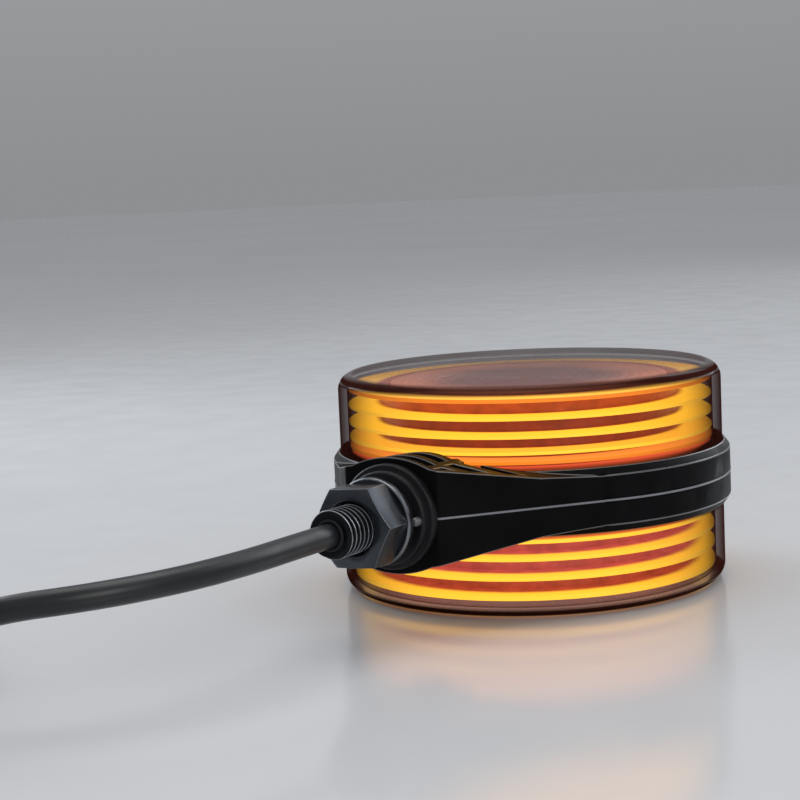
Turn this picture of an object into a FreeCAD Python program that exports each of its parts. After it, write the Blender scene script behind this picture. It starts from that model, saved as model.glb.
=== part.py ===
import FreeCAD, Part
import math
import os

# Double-faced LED marker lamp, lying on its lower lens.
# Frame: origin at the centre of the lower lens face, +Z along the lens axis, and the
# mounting stud points along -Y. All sizes are in millimetres.
# "half" coordinates are heights above the parting plane; both halves are made from them.

V = FreeCAD.Vector
UP = V(0, 0, 1)
OUT = V(0, -1, 0)
SAME_PLACE = 0.01        # places nearer than this are the same place
OVERCUT = 1.0            # how far a cut runs past the face that it opens

# driving dimensions of the lamp
MID_Z = 29.4             # parting plane, half of the lamp's thickness
RING_R = 54.0            # outer radius of the housing ring
RING_WALL = 6.3          # height of the ring's straight wall
RING_TOP = 8.3           # height of the ring's lip
LIP_R = 52.15            # hole in the lip that the lens stands in
LIP_CHAMFER_R = 52.6
PART_GAP = 0.25          # half the thickness of the parting seal
SEAL_PROUD = 0.12
SEAL_WIDTH = 3.0
RING_EDGE = 0.3
LENS_R = 52.0
LENS_WALL = 2.4
LENS_FACE = 2.2
LENS_CORNER = 4.3
LENS_INNER_CORNER = 1.6
LENS_FOOT = 4.0
GROOVE_FLOOR = 2.6
GROOVE_R = 49.3
SHOULDER_TOP = 6.5
SHOULDER_R = 47.0
LEDGE_TOP = 2.2
LEDGE_R = 40.0

# light guide and diffuser drum inside each lens
GUIDE_R = 49.3
GUIDE_TOP = 26.3
FIN_BANDS = [(25.0, 26.3), (20.5, 22.3), (15.9, 17.7), (11.7, 13.6), (9.3, 10.9)]
SLEEVE_R = 40.1
SLEEVE_BORE = 38.3
GUIDE_FOOT = 1.4
GUIDE_FOOT_GAP = 0.4
DRUM_R = 37.6
DRUM_WALL = 1.4
DRUM_GROOVES = 7
GROOVE_WIDTH = 1.2
GROOVE_DEPTH = 0.4

# boards and heat spreader
SPREADER_HALF = 1.5
SPREADER_R = 39.8
BOARD_R = 46.6
BOARD_T = 1.6
LED_COUNT = 12
LED_RING_R = 43.6
LED_SIDE = 3.0
LED_HEIGHT = 1.4
CORE_LED_RING_R = 22.0
PAD_R = 36.0
SCREW_RING_R = 31.0
SCREW_COUNT = 3
SCREW_TURN = 30
SCREW_R = 1.25
SCREW_GAP = 0.05
SCREW_HOLE_R = 1.6
SCREW_HEAD_R = 2.8
SCREW_HEAD_T = 1.8
SCREW_SLOT = (4.0, 0.7, 0.9)

# neck between the ring and the stud's seat
NECK_END = 71.3
NECK_ANGLE = math.radians(52.4)
NECK_EDGE_R = 1.2
CAVITY_TOP = 7.0
CAVITY_HALF_WIDTH = 11.0
CAVITY = (55.5, 63.6)
CHANNEL_HALF_WIDTH = 5.0
# (distance along the stud, wall height, shoulder offset, shoulder height, crown height)
NECK_SECTIONS = [
    (71.3, 11.7, 11.0, 12.1, 14.5),
    (65.9, 10.6, 10.0, 11.9, 14.2),
    (58.9, 9.2, 9.5, 11.6, 13.9),
    (49.7, 7.35, 8.6, 10.9, 13.0),
    (36.0, 6.3, 8.0, 9.9, 12.0),
]
# slots between the neck's cross ribs, as (near end, far end) along the stud, and the offset of
# the lengthwise ribs there, which follow the shoulders
RIB_SLOTS = [(65.2, 69.2, 10.3), (58.0, 62.2, 9.3), (50.4, 54.4, 8.3)]
SPINE_HALF = 0.9
SLOT_FLOOR = 8.6
SIDE_SLOT_FLOOR = 7.6
SLOT_RIM = 3.2           # from the wall to a slot's end, across the neck

# driver board and its parts, standing in the neck's cavity
DRIVER = (57.0, 58.6)
DRIVER_HALF_WIDTH = 9.5
DRIVER_HALF_HEIGHT = 6.3
CAPACITOR_R = 2.2
CAPACITOR_H = 4.4
CAPACITOR_AT = (6.2, -58.6, 32.0)
# (width, depth, height, x, height above the parting plane) of each box-shaped part
DRIVER_PARTS = [(5.0, 3.2, 5.0, -8.6, -5.6), (4.4, 1.4, 3.6, 3.6, -5.2), (3.6, 1.8, 2.4, -7.6, 2.2)]
SUPPLY_CORES = [(-1.5, 0), (0, 0), (1.5, 0)]
LEADS_START = 40.5
BOARD_LEADS = [(-2.5, 1.45), (2.5, 1.45), (-2.5, -1.45), (2.5, -1.45)]

# stud, seat and nut, as distances along the stud's axis
STUD_R = 5.95
SHANK_R = 5.43           # pitch radius of the thread under the nut
SHANK_GAP = 0.05
STUD_END = 98.3
FREE_END = 90.0
STUD_CHAMFER = 0.4
STUD_BORE = 4.0
STUD_HEAD = (64.0, 67.0)
STUD_HEAD_SIDE = 16.0
STUD_HEAD_GAP = 0.05
SEAT_R = 13.1
SEAT = (71.3, 73.4)
SEAT_STEP_R = 11.6
SEAT_STEP = 75.4
SEAT_NOSE_R = 8.8
SEAT_NOSE = 78.6
SEAT_BORE = 6.15
SEAT_EDGE = 0.35
LOCATING_PIN_R = 1.15
LOCATING_PIN_GAP = 0.05
LOCATING_PIN_X = 10.0
LOCATING_PIN_TIP = 77.6
LOCATING_PIN_FOOT = 72.6
WASHER = (78.6, 80.7)
WASHER_R = 10.9
WASHER_BORE = 6.5
WASHER_EDGE = 0.3
NUT = (80.7, 89.6)
NUT_FLATS = 19.0
NUT_BORE = 6.0
NUT_CORNER_DEG = 3.3
NUT_CHAMFER = 0.9
NUT_FACE_INSET = 0.15
NUT_EDGE_DROP = 0.81

# cable
CABLE_R = 3.0
ARC_SHARE = 0.45         # share of the shorter run that each bend of the cable uses
CORE_R = 0.65
GROMMET_FACE = 97.6
GROMMET_DEPTH = 12.0
SHEATH_END = 66.0
LEAD_ROUTE = [
    (0.0, -97.6, 29.4), (0.0, -112.0, 29.4), (-0.6, -131.0, 29.1), (-4.5, -151.0, 28.8),
    (-13.5, -168.0, 28.2), (-28.5, -179.5, 26.8), (-42.0, -186.0, 22.0), (-54.5, -192.3, 14.8),
    (-66.5, -198.6, 7.4), (-79.6, -203.8, 3.9), (-92.95, -208.09, 3.7),
]
TAIL_ROUTE = [
    (-142.09, -183.05, 9.7), (-146.0, -169.5, 9.6), (-146.6, -154.5, 8.2), (-144.0, -140.5, 6.2),
]
COIL_CENTRE = V(-105.0, -171.0, 0)
COIL_INNER = 24.0
COIL_OUTER = 42.0
COIL_BASE = 0.7
COIL_HEIGHT = 12.0
COIL_ROUND = 2.95
TIE_WIDTH = 7.0
TIE_T = 0.7
TIE_GAP = 0.05
TIE_LAP = 0.4            # how far the strap's hole runs on at the coil's inner side
TIE_ANGLE = 100.0

# plug, as places along Y
PLUG_X = -144.0
PLUG_Z = 6.2
PLUG_WIDTH = 12.0
PLUG_ROUND = 2.0
BOOT = (-140.5, -126.5)
BOOT_RIBS = 4
BOOT_RIB_GROWTH = 0.35
BOOT_START_WALL = 0.6
BOOT_RIB = (0.3, 0.8)    # where a rib starts and ends, as a share of its step
BOOT_END_WALL = 2.2
PLUG = (-126.5, -105.5)
NOSE_END = -97.5
NOSE_WIDTH = 8.4
NOSE_HEIGHT = 8.0
NOSE_ROUND = 1.5
CONTACT_X = 2.2
CONTACT_HOLE = (1.1, 6.0, 2.6)
CONTACT = (0.8, 5.4, 2.0)
LATCH_WIDTH = 4.0
LATCH_FOOT = (2.0, 1.0)      # length and height
LATCH_FOOT_BACK = 5.6
LATCH_TONGUE = (7.2, 0.9)
ALONG = 0.9              # an edge runs lengthwise when this much of its direction does
LATCH_BACK = 7.9
SEAL_RING_WIDTH = 10.2
SEAL_RING_HEIGHT = 9.8
SEAL_RING_LENGTH = 1.9


def save(name, shape):
    """Write one sub-part, after checking that its solids are sound."""
    if not shape.isValid():
        raise ValueError(name + " is not a valid shape")
    shape.exportStep("parts/" + name + ".step")
    box = shape.BoundBox
    print("%-22s solids %2d  volume %9.1f  z %6.2f..%6.2f"
          % (name, len(shape.Solids), shape.Volume, box.ZMin, box.ZMax))


def turned(profile, axis_start=V(0, 0, 0), axis=UP):
    """Spin an (r, z) outline about the lens axis."""
    points = [V(r, 0, z) for r, z in profile]
    wire = Part.makePolygon(points + [points[0]])
    return Part.Face(wire).revolve(axis_start, axis, 360)


def spun(profile):
    """Spin a (distance along the stud, radius) outline about the stud's axis."""
    points = [V(r, -u, MID_Z) for u, r in profile]
    wire = Part.makePolygon(points + [points[0]])
    return Part.Face(wire).revolve(V(0, 0, MID_Z), OUT, 360)


def disc(radius, low, high, bore=0.0):
    """Disc or ring about the lens axis, in half coordinates."""
    shape = Part.makeCylinder(radius, high - low, V(0, 0, low))
    if bore:
        shape = shape.cut(Part.makeCylinder(bore, high - low, V(0, 0, low)))
    return shape


def block(x_half, near, far, low, high):
    """Box across the neck: near and far are distances along the stud."""
    return Part.makeBox(2 * x_half, far - near, high - low, V(-x_half, -far, low))


def upper(shape):
    """Place a half piece above the parting plane."""
    return shape.translated(V(0, 0, MID_Z))


def lower(shape):
    """Mirror a half piece below the parting plane."""
    return shape.mirror(V(0, 0, 0), UP).translated(V(0, 0, MID_Z))


def save_pair(name, shape):
    save(name + "_upper", upper(shape))
    save(name + "_lower", lower(shape))


def neck_half_width(u, grow=0.0):
    """Half width of the neck where its walls are flat planes tangent to the ring."""
    return (RING_R + grow - u * math.cos(NECK_ANGLE)) / math.sin(NECK_ANGLE)


def neck_section(u, wall, shoulder_x, shoulder_z, crown):
    half = neck_half_width(u)
    left = [V(-half, -u, PART_GAP), V(-half, -u, wall), V(-shoulder_x, -u, shoulder_z)]
    right = [V(shoulder_x, -u, shoulder_z), V(half, -u, wall), V(half, -u, PART_GAP)]
    edges = [Part.LineSegment(left[0], left[1]).toShape(),
             Part.LineSegment(left[1], left[2]).toShape(),
             Part.Arc(left[2], V(0, -u, crown), right[0]).toShape(),
             Part.LineSegment(right[0], right[1]).toShape(),
             Part.LineSegment(right[1], right[2]).toShape(),
             Part.LineSegment(right[2], left[0]).toShape()]
    return Part.Wire(edges)


def wing_slot(near, far, start):
    """Slot outside a lengthwise rib, with its outer end parallel to the neck's wall."""
    plan = [V(start, -near, SIDE_SLOT_FLOOR), V(neck_half_width(near) - SLOT_RIM, -near, SIDE_SLOT_FLOOR),
            V(neck_half_width(far) - SLOT_RIM, -far, SIDE_SLOT_FLOOR), V(start, -far, SIDE_SLOT_FLOOR)]
    return Part.Face(Part.makePolygon(plan + [plan[0]])).extrude(UP * NECK_SECTIONS[0][4])


def rib_slots():
    """Deep slots that leave the neck's cross ribs and its two lengthwise ribs."""
    tall = NECK_SECTIONS[0][4]
    cuts = []
    for near, far, spine in RIB_SLOTS:
        cuts.append(block(spine - SPINE_HALF, near, far, SLOT_FLOOR, tall + OVERCUT))
        wing = wing_slot(near, far, spine + SPINE_HALF)
        cuts.append(wing)
        cuts.append(wing.mirror(V(0, 0, 0), V(1, 0, 0)))
    return cuts


def neck_half():
    """Solid neck above the parting plane, with its corners rounded and its slots cut."""
    wires = [neck_section(*row) for row in NECK_SECTIONS]
    neck = Part.makeLoft(wires, True, True)
    corners = []
    for edge in neck.Edges:
        ends = [vertex.Point for vertex in edge.Vertexes]
        upright = (abs(ends[0].x - ends[-1].x) < SAME_PLACE
                   and abs(ends[0].y - ends[-1].y) < SAME_PLACE)
        if upright and abs(ends[0].y + NECK_END) < SAME_PLACE:
            corners.append(edge)
    neck = neck.makeFillet(NECK_EDGE_R, corners)
    neck = neck.cut(Part.makeCylinder(LIP_R, MID_Z))
    for cut in rib_slots():
        neck = neck.cut(cut)
    return neck


def ring_half():
    """Housing ring with the lens groove, the guide's shoulder and the board's ledge."""
    return turned([
        (LEDGE_R, PART_GAP), (RING_R - RING_EDGE, PART_GAP), (RING_R, PART_GAP + RING_EDGE),
        (RING_R, RING_WALL), (LIP_CHAMFER_R, RING_TOP), (LIP_R, RING_TOP),
        (LIP_R, GROOVE_FLOOR), (GROOVE_R, GROOVE_FLOOR), (GROOVE_R, SHOULDER_TOP),
        (SHOULDER_R, SHOULDER_TOP), (SHOULDER_R, LEDGE_TOP), (LEDGE_R, LEDGE_TOP)])


def housing_half():
    shape = ring_half().fuse(neck_half())
    shape = shape.cut(block(CAVITY_HALF_WIDTH, CAVITY[0], CAVITY[1], 0, CAVITY_TOP))
    shape = shape.cut(block(CHANNEL_HALF_WIDTH, LEDGE_R - 2 * OVERCUT, CAVITY[0] + OVERCUT, 0, LEDGE_TOP))
    shape = shape.cut(block(STUD_HEAD_SIDE / 2, CAVITY[1] - OVERCUT, STUD_HEAD[1], 0, STUD_HEAD_SIDE / 2))
    bore = Part.makeCylinder(SHANK_R + SHANK_GAP, NECK_END, V(0, -CAVITY[0], 0), OUT)
    return shape.cut(bore).removeSplitter()


def seal_plan(grow):
    """Plan of the ring and neck, grown outwards or shrunk, as a thin plate."""
    back = NECK_SECTIONS[-1][0]
    corner = NECK_EDGE_R * math.tan(NECK_ANGLE / 2)
    front = NECK_END - max(corner * math.sin(NECK_ANGLE), -grow)
    nose = NECK_END + min(0.0, grow)
    right = [V(neck_half_width(back, grow), -back, 0), V(neck_half_width(front, grow), -front, 0)]
    right.append(V(right[-1].x - corner * (1 + math.cos(NECK_ANGLE)), -nose, 0))
    left = [V(-p.x, p.y, 0) for p in reversed(right)]
    points = right + left
    plan = Part.Face(Part.makePolygon(points + [points[0]])).extrude(UP * (2 * PART_GAP))
    return plan.fuse(Part.makeCylinder(RING_R + grow, 2 * PART_GAP))


def parting_seal():
    """Thin gasket between the halves; its edge stands just proud all round."""
    seal = seal_plan(SEAL_PROUD).cut(seal_plan(-SEAL_WIDTH))
    seal = seal.cut(block(CHANNEL_HALF_WIDTH, LEDGE_R, CAVITY[0] + 2 * OVERCUT, -OVERCUT, OVERCUT))
    seal = seal.cut(block(SHANK_R + SHANK_GAP, CAVITY[1], NECK_END + OVERCUT, -OVERCUT, OVERCUT))
    return seal.translated(V(0, 0, MID_Z - PART_GAP)).removeSplitter()


def lens_half():
    """Cup lens: rounded outer corner, flat face, foot standing on its seal."""
    inside = LENS_R - LENS_WALL
    solid = Part.makeCylinder(LENS_R, MID_Z - LENS_FOOT, V(0, 0, LENS_FOOT))
    rim = [e for e in solid.Edges if abs(e.BoundBox.ZMin - MID_Z) < SAME_PLACE
           and abs(e.BoundBox.ZMax - MID_Z) < SAME_PLACE]
    solid = solid.makeFillet(LENS_CORNER, rim)
    hollow_top = MID_Z - LENS_FACE
    hollow = Part.makeCylinder(inside, hollow_top - LENS_FOOT, V(0, 0, LENS_FOOT))
    rim = [e for e in hollow.Edges if abs(e.BoundBox.ZMin - hollow_top) < SAME_PLACE
           and abs(e.BoundBox.ZMax - hollow_top) < SAME_PLACE]
    hollow = hollow.makeFillet(LENS_INNER_CORNER, rim)
    return solid.cut(hollow)


def guide_half():
    """Light guide: a sleeve with stacked outward fins and a foot on the shoulder."""
    foot = (SHOULDER_TOP, SHOULDER_TOP + GUIDE_FOOT)
    outline = [(SLEEVE_BORE, foot[0]), (GUIDE_R - GUIDE_FOOT_GAP, foot[0]),
               (GUIDE_R - GUIDE_FOOT_GAP, foot[1]),
               (SLEEVE_R, foot[1])]
    for low, high in reversed(FIN_BANDS):
        outline += [(SLEEVE_R, low), (GUIDE_R, low), (GUIDE_R, high), (SLEEVE_R, high)]
    outline.pop()
    outline.append((SLEEVE_BORE, GUIDE_TOP))
    return turned(outline)


def drum_half():
    """Diffuser drum: a closed cup with fine concentric grooves in its face."""
    board_top = LEDGE_TOP + BOARD_T
    outline = [(DRUM_R - DRUM_WALL, board_top), (DRUM_R, board_top), (DRUM_R, GUIDE_TOP)]
    step = DRUM_R / (DRUM_GROOVES + 1)
    for index in range(DRUM_GROOVES, 0, -1):
        middle = index * step
        outline += [(middle + GROOVE_WIDTH / 2, GUIDE_TOP),
                    (middle + GROOVE_WIDTH / 2, GUIDE_TOP - GROOVE_DEPTH),
                    (middle - GROOVE_WIDTH / 2, GUIDE_TOP - GROOVE_DEPTH),
                    (middle - GROOVE_WIDTH / 2, GUIDE_TOP)]
    outline += [(0, GUIDE_TOP), (0, GUIDE_TOP - DRUM_WALL),
                (DRUM_R - DRUM_WALL, GUIDE_TOP - DRUM_WALL)]
    return turned(outline)


def around(count, radius, piece, turn=0.0):
    """Copies of a piece, spaced evenly about the lens axis."""
    copies = []
    for index in range(count):
        angle = 360.0 * index / count + turn
        copy = piece.translated(V(radius, 0, 0))
        copy.rotate(V(0, 0, 0), UP, angle)
        copies.append(copy)
    return copies


def drilled(plate, radius):
    """A plate with the screws' ring of holes cut through it."""
    height = 2 * MID_Z
    hole = Part.makeCylinder(radius, height, V(0, 0, -MID_Z))
    for cut in around(SCREW_COUNT, SCREW_RING_R, hole, SCREW_TURN):
        plate = plate.cut(cut)
    return plate


def leds_half():
    """Square emitters: a ring beside the drum and a smaller ring under its face."""
    low = LEDGE_TOP + BOARD_T
    chip = Part.makeBox(LED_SIDE, LED_SIDE, LED_HEIGHT, V(-LED_SIDE / 2, -LED_SIDE / 2, low))
    outer = around(LED_COUNT, LED_RING_R, chip, 180 / LED_COUNT)
    inner = around(LED_COUNT // 2, CORE_LED_RING_R, chip)
    return Part.makeCompound(outer + inner)


def board_half():
    board = disc(BOARD_R, LEDGE_TOP, LEDGE_TOP + BOARD_T)
    return drilled(board, SCREW_HOLE_R)


def pad_half():
    pad = disc(PAD_R, SPREADER_HALF, LEDGE_TOP)
    return drilled(pad, SCREW_HOLE_R)


def spreader():
    """Aluminium plate between the boards, with a tapped hole for each pair of screws."""
    plate = disc(SPREADER_R, -SPREADER_HALF, SPREADER_HALF)
    return upper(drilled(plate, SCREW_R))


def board_screws():
    """Three short pan-head screws for each board, threaded into the spreader."""
    top = LEDGE_TOP + BOARD_T
    head = Part.makeCylinder(SCREW_HEAD_R, SCREW_HEAD_T, V(0, 0, top))
    shank = Part.makeCylinder(SCREW_R, top - SCREW_GAP, V(0, 0, SCREW_GAP))
    length, width, depth = SCREW_SLOT
    slot = Part.makeBox(length, width, depth, V(-length / 2, -width / 2, top + SCREW_HEAD_T - depth))
    screw = head.fuse(shank).cut(slot)
    above = around(SCREW_COUNT, SCREW_RING_R, screw, SCREW_TURN)
    return Part.makeCompound([upper(s) for s in above] + [lower(s) for s in above])


def stud():
    """Hollow stud: square head held in the neck, plain shank, full-size free end."""
    side = STUD_HEAD_SIDE - 2 * STUD_HEAD_GAP
    head = block(side / 2, STUD_HEAD[0], STUD_HEAD[1], MID_Z - side / 2, MID_Z + side / 2)
    body = spun([(STUD_HEAD[0], 0), (STUD_HEAD[0], SHANK_R), (FREE_END, SHANK_R), (FREE_END, STUD_R),
                 (STUD_END - STUD_CHAMFER, STUD_R), (STUD_END, STUD_R - STUD_CHAMFER), (STUD_END, 0)])
    bore = Part.makeCylinder(STUD_BORE, STUD_END, V(0, -STUD_HEAD[0] + 1, MID_Z), OUT)
    return head.fuse(body).cut(bore).removeSplitter()


def seat_gasket():
    """Rubber seat against the neck's end, stepped down to a nose behind the washer."""
    edge = SEAT_EDGE
    seat = spun([(SEAT[0], SEAT_BORE), (SEAT[0], SEAT_R), (SEAT[1] - edge, SEAT_R),
                 (SEAT[1], SEAT_R - edge), (SEAT[1], SEAT_STEP_R), (SEAT_STEP - edge, SEAT_STEP_R),
                 (SEAT_STEP, SEAT_STEP_R - edge), (SEAT_STEP, SEAT_NOSE_R),
                 (SEAT_NOSE, SEAT_NOSE_R), (SEAT_NOSE, SEAT_BORE)])
    pocket_r = LOCATING_PIN_R + LOCATING_PIN_GAP
    base = V(LOCATING_PIN_X, -LOCATING_PIN_FOOT, MID_Z)
    return seat.cut(Part.makeCylinder(pocket_r, SEAT_STEP, base, OUT))


def locating_pin():
    """Round-ended pin beside the stud that stops the lamp turning in its bracket."""
    foot = LOCATING_PIN_FOOT + LOCATING_PIN_GAP
    straight = LOCATING_PIN_TIP - LOCATING_PIN_R - foot
    base = V(LOCATING_PIN_X, -foot, MID_Z)
    pin = Part.makeCylinder(LOCATING_PIN_R, straight, base, OUT)
    return pin.fuse(Part.makeSphere(LOCATING_PIN_R, base + OUT * straight)).removeSplitter()


def washer():
    """Flat steel washer with its rims broken."""
    edge = WASHER_EDGE
    return spun([(WASHER[0], WASHER_BORE), (WASHER[0], WASHER_R - edge), (WASHER[0] + edge, WASHER_R),
                 (WASHER[1] - edge, WASHER_R), (WASHER[1], WASHER_R - edge), (WASHER[1], WASHER_BORE)])


def nut():
    """Hexagon nut with both faces chamfered and its thread stood in by a plain bore."""
    corner_r = NUT_FLATS / 2 / math.cos(math.radians(30))
    points = []
    for index in range(6):
        angle = math.radians(NUT_CORNER_DEG + 60 * index)
        points.append(V(corner_r * math.cos(angle), -NUT[0], MID_Z + corner_r * math.sin(angle)))
    prism = Part.Face(Part.makePolygon(points + [points[0]])).extrude(OUT * (NUT[1] - NUT[0]))
    face_r = NUT_FLATS / 2 - NUT_FACE_INSET
    rim_r = corner_r + NUT_FACE_INSET
    drop = NUT_EDGE_DROP
    envelope = spun([(NUT[0], 0), (NUT[0], face_r), (NUT[0] + drop, rim_r),
                     (NUT[1] - drop, rim_r), (NUT[1], face_r), (NUT[1], 0)])
    lead_in = NUT_CHAMFER
    hole = spun([(NUT[0], 0), (NUT[0], NUT_BORE + lead_in), (NUT[0] + lead_in, NUT_BORE),
                 (NUT[1] - lead_in, NUT_BORE), (NUT[1], NUT_BORE + lead_in), (NUT[1], 0)])
    return prism.common(envelope).cut(hole)


def grommet():
    start = GROMMET_FACE - GROMMET_DEPTH
    return spun([(start, CABLE_R), (start, STUD_BORE), (GROMMET_FACE, STUD_BORE), (GROMMET_FACE, CABLE_R)])


def sheath_inside():
    """The cable's sheath through the stud's bore, back to the driver cavity."""
    return Part.makeCylinder(CABLE_R, GROMMET_FACE - SHEATH_END, V(0, -SHEATH_END, MID_Z), OUT)


def driver_board():
    """Upright circuit board between the boards' leads and the supply cores."""
    low = MID_Z - DRIVER_HALF_HEIGHT
    return block(DRIVER_HALF_WIDTH, DRIVER[0], DRIVER[1], low, low + 2 * DRIVER_HALF_HEIGHT)


def driver_components():
    """Inductor, capacitor and regulator standing on the driver board."""
    parts = [Part.makeCylinder(CAPACITOR_R, CAPACITOR_H, V(*CAPACITOR_AT), OUT)]
    for width, depth, height, x, z in DRIVER_PARTS:
        parts.append(Part.makeBox(width, depth, height, V(x, -DRIVER[1] - depth, MID_Z + z)))
    return Part.makeCompound(parts)


def core_wires(near, far, places):
    wires = []
    for x, z in places:
        wires.append(Part.makeCylinder(CORE_R, far - near, V(x, -near, MID_Z + z), OUT))
    return wires


def rounded_route(points, label):
    """Straight runs joined by tangent arcs, each as large as its two runs allow."""
    knots = [V(*p) for p in points]
    edges = []
    radii = []
    start = knots[0]
    for before, corner, after in zip(knots, knots[1:], knots[2:]):
        back = before - corner
        ahead = after - corner
        reach = ARC_SHARE * min(back.Length, ahead.Length)
        back.normalize()
        ahead.normalize()
        turn = math.pi - back.getAngle(ahead)
        radius = reach / math.tan(turn / 2)
        radii.append(radius)
        first = corner + back * reach
        last = corner + ahead * reach
        inward = (back + ahead).normalize()
        middle = corner + inward * (radius / math.cos(turn / 2) - radius)
        edges.append(Part.LineSegment(start, first).toShape())
        edges.append(Part.Arc(first, middle, last).toShape())
        start = last
    edges.append(Part.LineSegment(start, knots[-1]).toShape())
    print(label, "radii", [round(r, 1) for r in radii])
    return Part.Wire(edges)


def cable_tube(points, label):
    route = rounded_route(points, label)
    first = V(*points[0])
    heading = V(*points[1]) - first
    section = Part.Wire(Part.Circle(first, heading, CABLE_R).toShape())
    tube = route.makePipeShell([section], True, False)
    expected = math.pi * CABLE_R ** 2 * route.Length
    print(label, "length %.1f  volume %.1f  section x length %.1f" % (route.Length, tube.Volume, expected))
    return tube


def cable_coil():
    """Outer shape of the put-away cable: a low ring with rounded edges."""
    ring = Part.makeCylinder(COIL_OUTER, COIL_HEIGHT).cut(Part.makeCylinder(COIL_INNER, COIL_HEIGHT))
    ring = ring.makeFillet(COIL_ROUND, [e for e in ring.Edges if len(e.Vertexes) == 1])
    return ring.translated(COIL_CENTRE + UP * COIL_BASE)


def coil_tie():
    """Flat strap once round the coil's bundle."""
    width = COIL_OUTER - COIL_INNER
    half = TIE_WIDTH / 2
    outer = Part.makeBox(width + 2 * (TIE_T + TIE_GAP), TIE_WIDTH, COIL_HEIGHT + 2 * TIE_T,
                         V(COIL_INNER - TIE_T - TIE_GAP, -half, 0))
    hole = Part.makeBox(width + 2 * TIE_GAP + TIE_LAP, TIE_WIDTH, COIL_HEIGHT,
                        V(COIL_INNER - TIE_GAP - TIE_LAP, -half, TIE_T))
    strap = outer.cut(hole)
    strap.rotate(V(0, 0, 0), UP, TIE_ANGLE)
    return strap.translated(COIL_CENTRE)


def along_plug(profile):
    """Spin a (y, radius) outline about the plug's axis."""
    points = [V(PLUG_X + r, y, PLUG_Z) for y, r in profile]
    wire = Part.makePolygon(points + [points[0]])
    return Part.Face(wire).revolve(V(PLUG_X, 0, PLUG_Z), V(0, 1, 0), 360)


def plug_box(width, height, near, far, round_r):
    """Box along the plug's axis with its lengthwise edges rounded."""
    box = Part.makeBox(width, far - near, height, V(PLUG_X - width / 2, near, PLUG_Z - height / 2))
    lengthwise = [e for e in box.Edges if abs(e.tangentAt(e.FirstParameter).y) > ALONG]
    return box.makeFillet(round_r, lengthwise)


def at_contacts(size, near):
    """A box of one size at each of the plug's two contacts."""
    width, length, height = size
    low_z = PLUG_Z - height / 2
    return [Part.makeBox(width, length, height, V(PLUG_X + side * CONTACT_X - width / 2, near, low_z))
            for side in (-1, 1)]


def plug_body():
    """Two-way plug: a rounded shell with a stepped nose and two contact holes."""
    shell = plug_box(PLUG_WIDTH, 2 * PLUG_Z, PLUG[0], PLUG[1], PLUG_ROUND)
    body = shell.fuse(plug_box(NOSE_WIDTH, NOSE_HEIGHT, PLUG[1], NOSE_END, NOSE_ROUND))
    for hole in at_contacts(CONTACT_HOLE, NOSE_END - CONTACT_HOLE[1]):
        body = body.cut(hole)
    return body.removeSplitter()


def plug_latch():
    """Springy locking tongue that rocks on a foot on top of the plug's nose."""
    left = PLUG_X - LATCH_WIDTH / 2
    foot_z = PLUG_Z + NOSE_HEIGHT / 2
    foot_length, foot_height = LATCH_FOOT
    tongue_length, tongue_height = LATCH_TONGUE
    foot = Part.makeBox(LATCH_WIDTH, foot_length, foot_height, V(left, NOSE_END - LATCH_FOOT_BACK, foot_z))
    tongue = Part.makeBox(LATCH_WIDTH, tongue_length, tongue_height,
                          V(left, NOSE_END - LATCH_BACK, foot_z + foot_height))
    return foot.fuse(tongue).removeSplitter()


def plug_contacts():
    return Part.makeCompound(at_contacts(CONTACT, NOSE_END - CONTACT_HOLE[1]))


def plug_seal():
    """Rubber ring round the root of the plug's nose."""
    end = PLUG[1] + SEAL_RING_LENGTH
    ring = plug_box(SEAL_RING_WIDTH, SEAL_RING_HEIGHT, PLUG[1], end, PLUG_ROUND)
    return ring.cut(plug_box(NOSE_WIDTH, NOSE_HEIGHT, PLUG[1], end, NOSE_ROUND))


def plug_boot():
    """Tapered, ribbed strain relief behind the plug."""
    outline = [(BOOT[0], 0), (BOOT[0], CABLE_R + BOOT_START_WALL)]
    step = (BOOT[1] - BOOT[0] - BOOT_END_WALL) / BOOT_RIBS
    for index in range(BOOT_RIBS):
        start = BOOT[0] + index * step
        radius = CABLE_R + BOOT_START_WALL + BOOT_RIB_GROWTH * (index + 1)
        outline += [(start + BOOT_RIB[0] * step, radius), (start + BOOT_RIB[1] * step, radius),
                    (start + step, radius - BOOT_RIB_GROWTH)]
    outline += [(BOOT[1], CABLE_R + BOOT_END_WALL), (BOOT[1], 0)]
    return along_plug(outline)


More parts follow.
